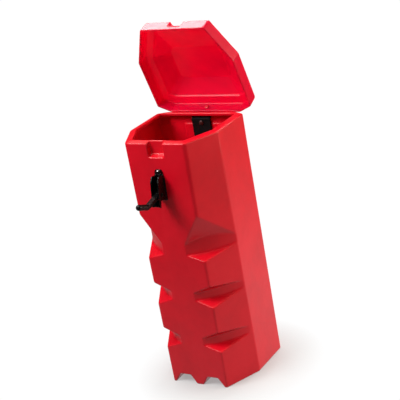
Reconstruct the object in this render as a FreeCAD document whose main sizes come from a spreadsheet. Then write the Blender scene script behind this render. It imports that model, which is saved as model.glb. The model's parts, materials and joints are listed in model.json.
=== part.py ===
import FreeCAD, Part
import math
import os
import Sketcher
from FreeCAD import Placement, Rotation, Vector

# Top-loading fire-extinguisher box for vehicles: a tapering container, a domed
# lid on a hinge strap at the back, and a latch with a rubber strap at the front.
# Millimetres, +Z up.  Origin: centre of the base underside, front faces -Y.
# At rest the lid stands open 70 degrees and the latch strap is free.

os.makedirs("parts", exist_ok=True)
doc = FreeCAD.newDocument("extinguisher_box")

# --------------------------------------------------------- driving dimensions
SIZES = [
    # container
    ("height", 582.6, "base to outer edge of the rim"),
    ("half_depth", 104.0, "front face to back face, halved"),
    ("base_half", 110.0, "half width at the base"),
    ("top_half", 112.5, "half width at the rim"),
    ("base_front_half", 70.4, "half width of the front face, base"),
    ("top_front_half", 74.6, "half width of the front face, rim"),
    ("base_chamfer_y", -18.2, "rear end of the front chamfer, base"),
    ("top_chamfer_y", -23.4, "rear end of the front chamfer, rim"),
    ("side_end_y", 91.7, "rear end of the side wall"),
    ("back_half", 88.0, "half width of the back face"),
    ("round_base", 2.5, "front corner radius, base"),
    ("round_rim", 11.0, "front corner radius, rim"),
    ("round_side", 3.0, "front of the side wall"),
    ("round_back", 5.0, "rear corners"),
    ("wall", 4.0, "wall of the container"),
    ("lip_width", 16.0, "inward lip at the mouth"),
    ("lip_rise", 3.0, "lip inner edge above its outer edge"),
    ("lip_thick", 5.0, "lip thickness"),
    # grip notches in the two front corners
    ("grip_radius", 293.0, "inner wall of a notch"),
    ("grip_axis", -191.9, "centre of that wall, along the corner direction"),
    ("grip_center_y", 2.35, "datum of the notch distances"),
    ("grip_angle", 45.6, "direction of the corner"),
    ("chord", 95.6, "notch start, from the axis"),
    ("corner", 126.4, "outer corner, from the axis"),
    ("upper_floor", 324.5, "upper notch floor, at the chord"),
    ("upper_floor_out", 312.3, "upper notch floor, at the corner"),
    ("upper_roof", 348.1, "upper notch roof, at the chord"),
    ("upper_roof_out", 417.7, "upper notch roof, at the corner"),
    ("middle_floor", 215.6, "middle notch floor, at the chord"),
    ("middle_floor_out", 199.8, "middle notch floor, at the corner"),
    ("middle_roof", 233.0, "middle notch roof, at the chord"),
    ("middle_roof_out", 251.7, "middle notch roof, at the corner"),
    ("lower_floor", 103.1, "lower notch floor, at the chord"),
    ("lower_floor_out", 89.7, "lower notch floor, at the corner"),
    ("lower_roof", 120.6, "lower notch roof, at the chord"),
    ("lower_roof_out", 139.2, "lower notch roof, at the corner"),
    # grooves under the base
    ("groove_in", 8.8, "groove mouth, inner edge"),
    ("groove_out", 63.8, "groove mouth, outer edge"),
    ("groove_top_in", 22.0, "groove roof, inner edge"),
    ("groove_top_out", 49.5, "groove roof, outer edge"),
    ("groove_rise", 21.0, "groove depth"),
    # recess at the rim, front centre
    ("recess_half", 19.0, "half width of the recess"),
    ("recess_drop", 32.0, "recess floor below the rim, at the front face"),
    ("recess_deep", 13.0, "recess depth, front to back"),
    ("recess_slope", 4.5, "rise of the recess floor over its depth"),
    # lid
    ("lid_overlap", 25.0, "mating edge below the rim when shut"),
    ("lid_out", 10.1, "outside of the skirt, from the container"),
    ("lid_in", 5.5, "inside of the skirt, from the container"),
    ("lid_draft", 1.1, "taper of the skirt"),
    ("skirt", 30.4, "skirt depth, outside"),
    ("ring_low", 25.4, "inside depth at the skirt"),
    ("dome_step", 31.8, "inside depth at the start of the dome"),
    ("dome_in", 53.0, "inside depth at the plateau"),
    ("dome_out", 57.5, "outside height of the plateau"),
    ("plateau_half", 66.0, "half width of the plateau"),
    ("plateau_front", -29.0, "front edge of the plateau"),
    ("plateau_back", 54.0, "back edge of the plateau"),
    ("seat_half", 15.5, "half width of the latch seat"),
    ("seat_low", 7.0, "lower end of the latch seat"),
    ("seat_deep", 13.0, "depth of the latch seat at the shoulder"),
    ("seat_wall", 2.6, "wall behind the latch seat"),
    ("pivot_back", 25.9, "fold axis behind the back face"),
    ("pivot_drop", 19.4, "fold axis below the rim"),
    ("open_angle", 70.0, "lid opening at rest"),
    # hinge strap
    ("strap_half", 24.0, "half width of the hinge strap"),
    ("strap_thick", 4.0, "thickness of the hinge strap"),
    ("strap_low", 500.0, "lower end of the strap"),
    ("strap_top", 574.4, "top of the lower strap"),
    ("strap_gap", 2.2, "strap stands off the wall"),
    ("pad_top", 555.6, "top of the pad on the back wall"),
    ("pad_low", 486.0, "bottom of the pad"),
    ("pad_half", 46.0, "half width of the pad"),
    ("pad_thick", 2.0, "pad thickness inside the wall"),
    ("rivet_radius", 2.4, "rivet shank"),
    ("rivet_hole", 2.6, "radius of a rivet hole"),
    ("rivet_head", 5.5, "radius of a rivet head"),
    ("rivet_high", 560.0, "upper body rivet"),
    ("rivet_low", 512.0, "lower body rivet"),
    ("lid_rivet_up", 13.0, "lid rivet above the lid's edge"),
    # latch
    ("plate_half", 12.0, "widest part of the bracket plate"),
    ("plate_foot", 10.4, "half width at its lower end"),
    ("plate_low", 455.0, "lower end of the bracket plate"),
    ("plate_high", 506.0, "height of the widest part"),
    ("plate_thick", 3.4, "thickness of the bracket plate"),
    ("ear_in", 6.8, "inside of a bracket ear"),
    ("ear_out", 10.0, "outside of a bracket ear"),
    ("pin_y", -122.0, "pin axis, front to back"),
    ("pin_z", 474.0, "pin axis, height"),
    ("pin_radius", 2.5, "latch pin"),
    ("pin_hole", 2.7, "radius of the pin holes"),
    ("arm_length", 49.5, "pin to the bend at the grip"),
    ("arm_droop", 10.5, "degrees below level"),
    ("arm_half", 6.0, "half width of the strap arm"),
    ("arm_thick", 8.4, "thickness of the strap arm"),
    ("grip_radius_bar", 6.4, "round grip at the strap's end"),
    ("grip_length", 32.0, "straight part of the grip"),
    ("grip_bend", 32.0, "upturn of the grip from the arm"),
    ("screw_radius", 2.5, "screw shank"),
    ("screw_hole", 2.75, "radius of a screw hole"),
    ("screw_head", 6.8, "domed head"),
    ("screw_high", 518.0, "upper screw"),
    ("screw_low", 462.0, "lower screw"),
]
VALUES = {alias: value for alias, value, note in SIZES}


class Size:
    """Driving dimensions times factors, plus a number.

    float() gives its present value; expression() ties a property to the sheet.
    Plain numbers may stand wherever a Size may.
    """

    def __init__(self, factors, number=0.0):
        self.factors = factors
        self.number = number

    def __add__(self, other):
        if not isinstance(other, Size):
            return Size(self.factors, self.number + other)
        factors = dict(self.factors)
        for alias, factor in other.factors.items():
            factors[alias] = factors.get(alias, 0.0) + factor
        return Size(factors, self.number + other.number)

    __radd__ = __add__

    def __mul__(self, scale):
        factors = {alias: scale * factor for alias, factor in self.factors.items()}
        return Size(factors, scale * self.number)

    __rmul__ = __mul__

    def __neg__(self):
        return self * -1.0

    def __sub__(self, other):
        return self + -other

    def __rsub__(self, other):
        return -self + other

    def __float__(self):
        return self.number + sum(f * VALUES[alias] for alias, f in self.factors.items())

    def expression(self):
        terms = ["(%.9f) * Dims.%s" % (f, alias) for alias, f in self.factors.items()]
        return " + ".join(terms + ["(%.9f)" % self.number])


class Dimensions:
    """Holds each driving dimension as a Size under its alias."""


dim = Dimensions()
sheet = doc.addObject("Spreadsheet::Sheet", "Dims")
for row, (alias, value, note) in enumerate(SIZES, start=1):
    sheet.set("A%d" % row, alias.replace("_", " "))
    sheet.set("B%d" % row, "%g" % value)
    sheet.set("C%d" % row, note)
    sheet.setAlias("B%d" % row, alias)
    setattr(dim, alias, Size({alias: 1.0}))
doc.recompute()

# places shared by several pieces
UP = Vector(0, 0, 1)
RIGHTWARD = Vector(1, 0, 0)
BACKWARD = Vector(0, 1, 0)
FORWARD = Vector(0, -1, 0)
FRONT_FACE = -dim.half_depth
BACK_FACE = dim.half_depth
INNER_FRONT = FRONT_FACE + dim.wall
LID_EDGE = dim.height - dim.lid_overlap
LID_RIVET_Z = LID_EDGE + dim.lid_rivet_up
STRAP_REAR = BACK_FACE - dim.wall - dim.strap_gap
STRAP_FRONT = STRAP_REAR - dim.strap_thick
LID_STRAP_FRONT = BACK_FACE + dim.lid_out + 0.15
RIVET_HEIGHTS = (dim.rivet_high, dim.rivet_low)
SCREW_HEIGHTS = (dim.screw_high, dim.screw_low)


# -------------------------------------------------------- properties and places
def bind(obj, prop, size):
    """Tie a property to the sheet; a plain number needs no tie."""
    if isinstance(size, Size):
        obj.setExpression(prop, size.expression())


def assign(obj, prop, size):
    setattr(obj, prop, float(size))
    bind(obj, prop, size)


def point(x, y, z=0.0):
    return Vector(float(x), float(y), float(z))


def place(obj, x, y, z, rotation=Rotation()):
    """Place an object and tie its position to the sheet."""
    obj.Placement = Placement(point(x, y, z), rotation)
    for axis, value in zip("xyz", (x, y, z)):
        bind(obj, "Placement.Base." + axis, value)
    return obj


# --------------------------------------------------------------------- sketches
def new_body(name):
    return doc.addObject("PartDesign::Body", name)


def sketch_on(body, name, role, lift=0.0):
    """Sketch on an origin plane of the body, raised by lift."""
    sketch = body.newObject("Sketcher::SketchObject", name)
    plane = next(f for f in body.Origin.OriginFeatures if f.Role == role)
    sketch.AttachmentSupport = [(plane, "")]
    sketch.MapMode = "FlatFace"
    sketch.AttachmentOffset = Placement(point(0, 0, lift), Rotation())
    bind(sketch, "AttachmentOffset.Base.z", lift)
    return sketch


def fix_point(sketch, geometry, end, x, y):
    """Hold a point at (x, y); a zero coordinate puts it on the axis."""
    for kind, axis, value in (("DistanceX", -2, x), ("DistanceY", -1, y)):
        number = float(value)
        if abs(number) < 1e-6:
            sketch.addConstraint(Sketcher.Constraint("PointOnObject", geometry, end, axis))
        else:
            index = sketch.addConstraint(
                Sketcher.Constraint(kind, -1, 1, geometry, end, number))
            bind(sketch, "Constraints[%d]" % index, value)


def add_polygon(sketch, outline):
    first = sketch.GeometryCount
    count = len(outline)
    for i in range(count):
        ends = point(*outline[i]), point(*outline[(i + 1) % count])
        sketch.addGeometry(Part.LineSegment(*ends), False)
    for i in range(count):
        sketch.addConstraint(
            Sketcher.Constraint("Coincident", first + i, 2, first + (i + 1) % count, 1))
    for i, (x, y) in enumerate(outline):
        fix_point(sketch, first + i, 1, x, y)


def add_rounded(sketch, outline):
    """Closed outline of (x, y, radius) corners in an empty sketch."""
    count = len(outline)
    tips = [point(x, y) for x, y, radius in outline]
    arcs = []
    for i, (x, y, radius) in enumerate(outline):
        before = (tips[i] - tips[i - 1]).normalize()
        after = (tips[(i + 1) % count] - tips[i]).normalize()
        turn = math.acos(max(-1.0, min(1.0, before.dot(after))))
        setback = radius * math.tan(turn / 2)
        start = (x - setback * before.x, y - setback * before.y)
        end = (x + setback * after.x, y + setback * after.y)
        inward = (after - before).normalize()
        middle = tips[i] + inward * (float(radius) * (1 / math.cos(turn / 2) - 1))
        arcs.append((start, middle, end))
    for i, (start, middle, end) in enumerate(arcs):
        next_start = arcs[(i + 1) % count][0]
        sketch.addGeometry(Part.Arc(point(*start), middle, point(*end)), False)
        sketch.addGeometry(Part.LineSegment(point(*end), point(*next_start)), False)

    # which end of an arc is its start depends on the turning sense
    starts = [1 if (sketch.getPoint(2 * i, 1) - point(*arcs[i][0])).Length < 1e-4 else 2
              for i in range(count)]
    for i, (start, middle, end) in enumerate(arcs):
        arc, line, following = 2 * i, 2 * i + 1, (i + 1) % count
        arc_start, arc_end = starts[i], 3 - starts[i]
        sketch.addConstraint(Sketcher.Constraint("Coincident", arc, arc_end, line, 1))
        sketch.addConstraint(
            Sketcher.Constraint("Coincident", line, 2, 2 * following, starts[following]))
        fix_point(sketch, arc, arc_start, *start)
        fix_point(sketch, arc, arc_end, *end)
        radius = outline[i][2]
        index = sketch.addConstraint(Sketcher.Constraint("Radius", arc, float(radius)))
        bind(sketch, "Constraints[%d]" % index, radius)


def draw(sketch, outline):
    """Outline of (x, y) corners, or of (x, y, radius) corners."""
    if len(outline[0]) == 3:
        add_rounded(sketch, outline)
    else:
        add_polygon(sketch, outline)


# ----------------------------------------------------------------------- solids
def pad(body, sketch, length, middle):
    feature = body.newObject("PartDesign::Pad", body.Name + "_pad")
    feature.Profile = sketch
    assign(feature, "Length", length)
    feature.Midplane = middle


def prism(name, role, outlines, length, middle=True, lift=0.0):
    """Outlines on an origin plane, padded to both sides of it or to one."""
    body = new_body(name)
    sketch = sketch_on(body, name + "_profile", role, lift)
    for outline in outlines:
        draw(sketch, outline)
    pad(body, sketch, length, middle)
    return body


def lofted(name, sections):
    """Ruled loft through (z, outline) sections."""
    body = new_body(name)
    sketches = []
    for number, (z, outline) in enumerate(sections):
        sketch = sketch_on(body, "%s_section_%d" % (name, number), "XY_Plane", z)
        draw(sketch, outline)
        sketches.append(sketch)
    feature = body.newObject("PartDesign::AdditiveLoft", name + "_loft")
    feature.Profile = sketches[0]
    feature.Sections = sketches[1:]
    feature.Ruled = True
    return body


def turned(name, profile):
    """Profile of (radius, station) points spun about the local Z axis."""
    body = new_body(name)
    sketch = sketch_on(body, name + "_profile", "XZ_Plane")
    draw(sketch, profile)
    feature = body.newObject("PartDesign::Revolution", name + "_turn")
    feature.Profile = sketch
    feature.ReferenceAxis = (sketch, ["V_Axis"])
    feature.Angle = 360
    return body


def lathe(name, profile, x, y, z, axis=BACKWARD):
    """Turned piece running along axis; its place is not tied, so it can be swung."""
    body = turned(name, profile)
    body.Placement = Placement(point(x, y, z), Rotation(UP, axis))
    return body


def ring(name, inner, outer, thickness, x, y, z, axis=BACKWARD):
    profile = [(inner, 0.0), (outer, 0.0), (outer, thickness), (inner, thickness)]
    return lathe(name, profile, x, y, z, axis)


def rod(name, radius, length, x, y, z, axis=BACKWARD):
    """Round bar starting at (x, y, z) and running along axis."""
    bar = doc.addObject("Part::Cylinder", name)
    assign(bar, "Radius", radius)
    assign(bar, "Height", length)
    return place(bar, x, y, z, Rotation(UP, axis))


def rod_pair(name, radius, length, y, heights):
    return [rod(name + level, radius, length, 0, y, z)
            for level, z in zip(("_high", "_low"), heights)]


def box(name, lengths, x, y, z):
    block = doc.addObject("Part::Box", name)
    for prop, length in zip(("Length", "Width", "Height"), lengths):
        assign(block, prop, length)
    return place(block, x, y, z)


def boolean(kind, name, base, tool):
    result = doc.addObject("Part::" + kind, name)
    result.Base = base
    result.Tool = tool
    return result


def fuse_all(name, shapes):
    result = doc.addObject("Part::MultiFuse", name)
    result.Shapes = shapes
    return result


def cut(name, base, tools):
    tool = tools[0] if len(tools) == 1 else fuse_all(name + "_tools", tools)
    return boolean("Cut", name, base, tool)


def compound(name, parts):
    result = doc.addObject("Part::Compound", name)
    result.Links = parts
    return result


def with_left(name, right):
    """A piece and its mirror image across X = 0."""
    left = doc.addObject("Part::Mirroring", name)
    left.Source = right
    left.Base = Vector(0, 0, 0)
    left.Normal = Vector(1, 0, 0)
    return [right, left]


# ----------------------------------------------------- the eight-sided outline
# An offset moves a corner by itself along one axis and by this share of it
# along the other.
FRONT_SHARE = 0.635
CHAMFER_SHARE = 0.2235
SIDE_SHARE = 0.617
BACK_SHARE = 0.237
BASE_BACK_LESS = 2.0  # the back face is this much narrower each side at the base
BACK_STOCK = 0.3      # stock on the back, faced off flat


def symmetric(right):
    """Right-hand corners followed by their mirror images."""
    return right + [(-x, *rest) for x, *rest in reversed(right)]


def outline(front_half, chamfer_y, half, back_half, offset, spare):
    """Corners moved outward by offset, the back ones by spare as well."""
    return symmetric([
        (front_half + FRONT_SHARE * offset, FRONT_FACE - offset),
        (half + offset, chamfer_y - CHAMFER_SHARE * offset),
        (half + offset, dim.side_end_y + SIDE_SHARE * offset),
        (back_half + BACK_SHARE * offset, BACK_FACE + offset + spare)])


def base_outline(offset, spare=0.0):
    return outline(dim.base_front_half, dim.base_chamfer_y, dim.base_half,
                   dim.back_half - BASE_BACK_LESS, offset, spare)


def top_outline(offset, spare=0.0):
    return outline(dim.top_front_half, dim.top_chamfer_y, dim.top_half,
                   dim.back_half, offset, spare)


def rounded(corners, front, side, back):
    """Give the eight corners their radii."""
    radii = [front, side, back, back]
    return [(x, y, radius) for (x, y), radius in zip(corners, radii + radii[::-1])]


# -------------------------------------------------------------------- container
def notches(name, grow, start_in):
    """Cutters for three notches in each front corner.

    grow moves every face outward; start_in is how far inside the chord the
    wedges begin.
    """
    beyond = 24.0
    run = float(dim.corner - dim.chord)
    start, end = -start_in / run, 1 + beyond / run
    wedges = []
    for level in ("upper", "middle", "lower"):
        floor, floor_out, roof, roof_out = [
            getattr(dim, level + part)
            for part in ("_floor", "_floor_out", "_roof", "_roof_out")]
        floor_rise, roof_rise = floor_out - floor, roof_out - roof
        floor_shift = grow * math.hypot(1, float(floor_rise) / run)
        roof_shift = grow * math.hypot(1, float(roof_rise) / run)
        wedges.append([
            (dim.chord - start_in, floor + floor_rise * start - floor_shift),
            (dim.corner + beyond, floor + floor_rise * end - floor_shift),
            (dim.corner + beyond, roof + roof_rise * end + roof_shift),
            (dim.chord - start_in, roof + roof_rise * start + roof_shift)])
    wedge = prism(name + "_wedge", "XZ_Plane", wedges, 260.0)
    # the inner wall of the notches is round
    core = rod(name + "_core", dim.grip_radius - grow, 700.0, dim.grip_axis, 0, -50, UP)
    right = cut(name + "_cut", wedge, [core])
    place(right, 0, dim.grip_center_y, 0, Rotation(UP, -float(dim.grip_angle)))
    return with_left(name + "_left", right)


def grooves(name, grow):
    """Front-to-back channels under the base, one on each side."""
    below = 8.0
    rise = float(dim.groove_rise)
    slope_in = float(dim.groove_top_in - dim.groove_in) / rise
    slope_out = float(dim.groove_out - dim.groove_top_out) / rise
    shift_in = grow * math.hypot(1, slope_in)
    shift_out = grow * math.hypot(1, slope_out)
    roof = dim.groove_rise + grow
    profile = [(dim.groove_in - shift_in - below * slope_in, -below),
               (dim.groove_out + shift_out + below * slope_out, -below),
               (dim.groove_top_out + shift_out - grow * slope_out, roof),
               (dim.groove_top_in - shift_in + grow * slope_in, roof)]
    return with_left(name + "_left", prism(name, "XZ_Plane", [profile], 300.0))


def recess(name, grow):
    """Recess at the rim, front centre, its floor rising towards the back."""
    ahead, above, floor_slant = 12.0, 20.0, 1.06
    back = FRONT_FACE + dim.recess_deep + grow
    front = FRONT_FACE - ahead
    floor = dim.height - dim.recess_drop - grow * floor_slant
    floor_front = floor - dim.recess_slope * (ahead / float(dim.recess_deep))
    top = dim.height + above
    profile = [(front, floor_front), (back, floor + dim.recess_slope),
               (back, top), (front, top)]
    return prism(name, "YZ_Plane", [profile], 2 * dim.recess_half + 2 * grow)


def container_block():
    """Outer solid: the tapering hull and the sloping mouth lip on top."""
    rim = rounded(top_outline(0.0, BACK_STOCK), dim.round_rim, dim.round_side, dim.round_back)
    # the front corners open out from crisp at the base to well rounded at the rim
    hull = lofted("hull", [
        (0.0, rounded(base_outline(0.0, BACK_STOCK),
                      dim.round_base, dim.round_side, dim.round_back)),
        (dim.height, rim)])
    lip = lofted("lip", [
        (dim.height, rim),
        (dim.height + dim.lip_rise, rounded(top_outline(-dim.lip_width), 4.0, 3.0, 3.0))])
    return fuse_all("shell_block", [hull, lip])


def container_cavity():
    """Inside space, less the walls round the notches, grooves and recess."""
    main = lofted("cavity", [
        (dim.wall, base_outline(-dim.wall)),
        (dim.height - dim.lip_thick, top_outline(-dim.wall))])
    mouth = prism("mouth", "XY_Plane", [top_outline(-dim.lip_width)], 60.0,
                  middle=False, lift=dim.height - 30.0)
    walls = (notches("notch_wall", dim.wall, start_in=7.0)
             + grooves("groove_wall", dim.wall)
             + [recess("rim_recess_wall", dim.wall)])
    return cut("cavity_net", fuse_all("cavity_all", [main, mouth]), walls)


def make_body_shell():
    facing = box("back_facing", (300.0, 10.0, 700.0), -150, BACK_FACE, -20)
    outside = (notches("notch", 0.0, start_in=1.5) + grooves("groove", 0.0)
               + [recess("rim_recess", 0.0), facing])
    outer = cut("shell_outer", container_block(), outside)
    hollow = cut("shell_hollow", outer, [container_cavity()])

    # pad inside the back wall, sunk a little into it
    sunk = 1.0
    hinge_pad = box("hinge_pad",
                    (2 * dim.pad_half, dim.pad_thick + sunk, dim.pad_top - dim.pad_low),
                    -dim.pad_half, BACK_FACE - dim.wall - dim.pad_thick, dim.pad_low)
    padded = boolean("Fuse", "shell_padded", hollow, hinge_pad)

    # slot for the hinge strap, under the lip
    side_gap, height_gap = 1.0, 0.5
    slot = box("strap_slot",
               (2 * dim.strap_half + 2 * side_gap, 20.0, dim.strap_thick + 2 * height_gap),
               -dim.strap_half - side_gap, BACK_FACE - 9,
               dim.strap_top - dim.strap_thick - height_gap)
    holes = (rod_pair("rivet_hole", dim.rivet_hole, 30.0, BACK_FACE - 20, RIVET_HEIGHTS)
             + rod_pair("screw_hole", dim.screw_hole, 30.0, FRONT_FACE - 15, SCREW_HEIGHTS))
    return cut("body_shell", padded, [slot] + holes)


# -------------------------------------------------------------------------- lid
# All lid pieces are drawn shut and swung open at the end.
def plateau(offset):
    """Flat top of the dome: a rectangle with cut corners, moved outward."""
    share = 0.4
    half, front, back = dim.plateau_half, dim.plateau_front, dim.plateau_back
    return symmetric([(half - 9.0 + share * offset, front - offset),
                      (half + offset, front + 14.0),
                      (half + offset, back - 7.0),
                      (half - 7.0 + share * offset, back + offset)])


def latch_seat(name, grow):
    """Wedge pocket at the front of the lid, deepest at the shoulder."""
    above, ahead = 26.0, 10.0
    slope = float(dim.seat_deep) / float(dim.skirt - dim.seat_low)
    drop = grow * math.hypot(1, 1 / slope)
    face = FRONT_FACE - dim.lid_out
    top = LID_EDGE + dim.skirt - drop + above
    profile = [(face - ahead, LID_EDGE + dim.seat_low - drop - ahead / slope),
               (face + dim.seat_deep + above * slope, top),
               (face - ahead, top)]
    return prism(name, "YZ_Plane", [profile], 2 * dim.seat_half + 2 * grow)


def make_lid_shell():
    shoulder = LID_EDGE + dim.skirt
    shoulder_out = dim.lid_out - dim.lid_draft
    skirt = lofted("lid_outer", [
        (LID_EDGE, rounded(top_outline(dim.lid_out), 4.0, 4.0, 6.0)),
        (shoulder, rounded(top_outline(shoulder_out), 4.0, 4.0, 6.0))])
    dome = lofted("dome_outer", [
        (shoulder - 0.4, top_outline(shoulder_out - 1.2)),
        (shoulder + 4.4, top_outline(-9.5)),
        (LID_EDGE + dim.dome_out, plateau(2.5))])
    inner = lofted("lid_inner", [
        (LID_EDGE - 2.0, top_outline(dim.lid_in)),
        (LID_EDGE + dim.ring_low, top_outline(dim.lid_in - 0.5)),
        (LID_EDGE + dim.ring_low + 3.6, top_outline(-13.0)),
        (LID_EDGE + dim.dome_step, top_outline(-14.2)),
        (LID_EDGE + dim.dome_in, plateau(0.0))])
    inner_net = cut("lid_inner_net", inner, [latch_seat("latch_seat_wall", dim.seat_wall)])
    block = fuse_all("lid_block", [skirt, dome])
    rivet_hole = rod("lid_rivet_hole", dim.rivet_hole, 30.0, 0, BACK_FACE - 5, LID_RIVET_Z)
    return cut("lid_shell", block, [inner_net, latch_seat("latch_seat", 0.0), rivet_hole])


# ------------------------------------------------------------------ hinge strap
HINGE_WASHER = {"inner": dim.rivet_hole, "outer": 6.5, "thickness": 1.1}


def make_hinge_strap_lower():
    """Upright inside the back wall, turned out through the slot at its top."""
    underside = dim.strap_top - dim.strap_thick
    slot_end = BACK_FACE + 1.5
    profile = [(STRAP_FRONT, dim.strap_low), (STRAP_REAR, dim.strap_low),
               (STRAP_REAR, underside), (slot_end, underside),
               (slot_end, dim.strap_top), (STRAP_FRONT, dim.strap_top)]
    blank = prism("strap_lower_blank", "YZ_Plane", [profile], 2 * dim.strap_half)
    return cut("hinge_strap_lower", blank,
               rod_pair("strap_hole", dim.rivet_hole, 30.0, BACK_FACE - 25, RIVET_HEIGHTS))


def make_hinge_strap_upper():
    """Flat piece on the back of the lid's skirt."""
    front, rear = LID_STRAP_FRONT, LID_STRAP_FRONT + dim.strap_thick
    bottom, top = LID_EDGE + 1.0, LID_EDGE + 25.0
    profile = [(front, bottom), (rear, bottom), (rear, top), (front, top)]
    blank = prism("strap_upper_blank", "YZ_Plane", [profile], 2 * dim.strap_half)
    hole = rod("strap_upper_hole", dim.rivet_hole, 40.0, 0, BACK_FACE, LID_RIVET_Z)
    return cut("hinge_strap_upper", blank, [hole])


def rivet(name, grip, y, z):
    """Domed head towards the front, shank of length grip, upset tail."""
    shank, head = dim.rivet_radius, dim.rivet_head
    profile = [(0.0, -2.6), (head - 2.6, -2.4), (head, -0.9), (head, 0.0),
               (shank, 0.0), (shank, grip), (head - 1.0, grip),
               (head - 1.2, grip + 1.2), (0.0, grip + 1.8)]
    return lathe(name, profile, 0, y, z)


def make_hinge_rivets_body():
    grip = BACK_FACE + 1.3 - STRAP_FRONT
    return compound("hinge_rivets_body", [
        rivet(name, grip, STRAP_FRONT - 0.05, z)
        for name, z in zip(("rivet_a", "rivet_b"), RIVET_HEIGHTS)])


def make_hinge_washers_body():
    return compound("hinge_washers_body", [
        ring(name, x=0, y=BACK_FACE + 0.05, z=z, **HINGE_WASHER)
        for name, z in zip(("washer_a", "washer_b"), RIVET_HEIGHTS)])


# lid rivet: head inside the skirt, washer and tail behind the strap
LID_RIVET_HEAD_Y = BACK_FACE + dim.lid_in - 0.48
LID_RIVET_TAIL_Y = LID_STRAP_FRONT + dim.strap_thick + 1.25


def make_hinge_rivet_lid():
    grip = LID_RIVET_TAIL_Y - LID_RIVET_HEAD_Y + 0.1
    return rivet("hinge_rivet_lid", grip, LID_RIVET_HEAD_Y, LID_RIVET_Z)


def make_hinge_washer_lid():
    return ring("hinge_washer_lid", x=0, y=LID_RIVET_TAIL_Y - 1.15, z=LID_RIVET_Z,
                **HINGE_WASHER)


# ------------------------------------------------------------------------ latch
BACKING_THICK = 2.0
BACKING_HALF = 11.0
BACKING_MARGIN = 7.0   # backing plate beyond the screw axes
LATCH_WASHER_THICK = 1.0
STACK_GAP = 0.1        # between backing plate, washer and nut


def bracket_plate():
    """Face plate with a rounded top."""
    top_half = 7.6
    corners = symmetric([(dim.plate_foot, dim.plate_low, 2.0),
                         (dim.plate_half, dim.plate_high, 6.0),
                         (top_half, dim.screw_high + top_half, 5.6)])
    plate = prism("bracket_plate", "XZ_Plane", [corners], dim.plate_thick, middle=False)
    return place(plate, 0, FRONT_FACE - 0.05, 0)


def bracket_ears():
    """Two cheeks that carry the pin, each with a spur at its foot."""
    rear = FRONT_FACE - 2.0
    pin_y, pin_z, foot = dim.pin_y, dim.pin_z, dim.plate_low
    # y, z, corner radius
    cheek = [
        (rear, foot + 2.0, 0.8),
        (pin_y - 7.0, foot + 8.6, 2.5),
        (pin_y - 12.0, foot - 6.0, 1.6),
        (pin_y - 17.0, foot - 4.0, 1.8),
        (pin_y - 12.5, pin_z + 3.0, 9.0),
        (pin_y - 7.4, pin_z + 29.0, 5.0),
        (pin_y - 1.0, pin_z + 41.0, 4.0),
        (rear, pin_z + 39.0, 0.8),
    ]
    width = dim.ear_out - dim.ear_in
    return [place(prism(name, "YZ_Plane", [cheek], width, middle=False), x, 0, 0)
            for name, x in (("ear_right", dim.ear_in), ("ear_left", -dim.ear_out))]


def bracket_web():
    """Web across the foot of the two cheeks, under the strap arm."""
    sunk = 0.2
    # y, z, corner radius
    profile = [
        (dim.pin_y - 12.2, dim.plate_low - 5.0, 0.8),
        (dim.pin_y - 16.2, dim.plate_low - 3.4, 1.2),
        (dim.pin_y - 14.1, dim.pin_z - 8.5, 0.8),
        (dim.pin_y - 8.2, dim.pin_z - 8.5, 1.2),
    ]
    web = prism("bracket_web", "YZ_Plane", [profile], 2 * dim.ear_in + 2 * sunk, middle=False)
    return place(web, -dim.ear_in - sunk, 0, 0)


def make_latch_bracket():
    raw = fuse_all("bracket_raw", [bracket_plate()] + bracket_ears() + [bracket_web()])
    pin_hole = rod("bracket_pin_hole", dim.pin_hole, 40.0,
                   -20, dim.pin_y, dim.pin_z, RIGHTWARD)
    screw_holes = rod_pair("bracket_screw", dim.screw_hole, 20.0,
                           FRONT_FACE - 12, SCREW_HEIGHTS)
    return cut("latch_bracket", raw, [pin_hole] + screw_holes)


def make_latch_pin():
    overhang, bevel = 3.0, 0.5
    radius, length = dim.pin_radius, 2 * dim.ear_out + 2 * overhang
    profile = [(0.0, 0.0), (radius - bevel, 0.0), (radius, bevel),
               (radius, length - bevel), (radius - bevel, length), (0.0, length)]
    return lathe("latch_pin", profile, -dim.ear_out - overhang,
                 dim.pin_y, dim.pin_z, RIGHTWARD)


def make_latch_pin_clips():
    gap, thickness = 0.3, 1.0
    starts = (-dim.ear_out - gap - thickness, dim.ear_out + gap)
    return compound("latch_pin_clips", [
        ring(name, 2.6, 4.6, thickness, x, dim.pin_y, dim.pin_z, RIGHTWARD)
        for name, x in zip(("clip_a", "clip_b"), starts)])


def strap_grip():
    """Round grip whose axis leaves the end of the arm, turned up by the bend."""
    radius, length = dim.grip_radius_bar, dim.grip_length
    profile = [(0.0, -4.5), (radius - 2.6, -4.5), (radius - 0.7, -3.2), (radius, -0.8),
               (radius, length), (radius - 0.4, length + 1.6), (radius - 1.8, length + 3.2),
               (radius - 3.8, length + 4.2), (0.0, length + 4.5)]
    tilt = Rotation(Vector(0, 1, 0), 90 - float(dim.grip_bend))
    return place(turned("strap_grip", profile), dim.arm_length, 0, 0, tilt)


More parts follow.
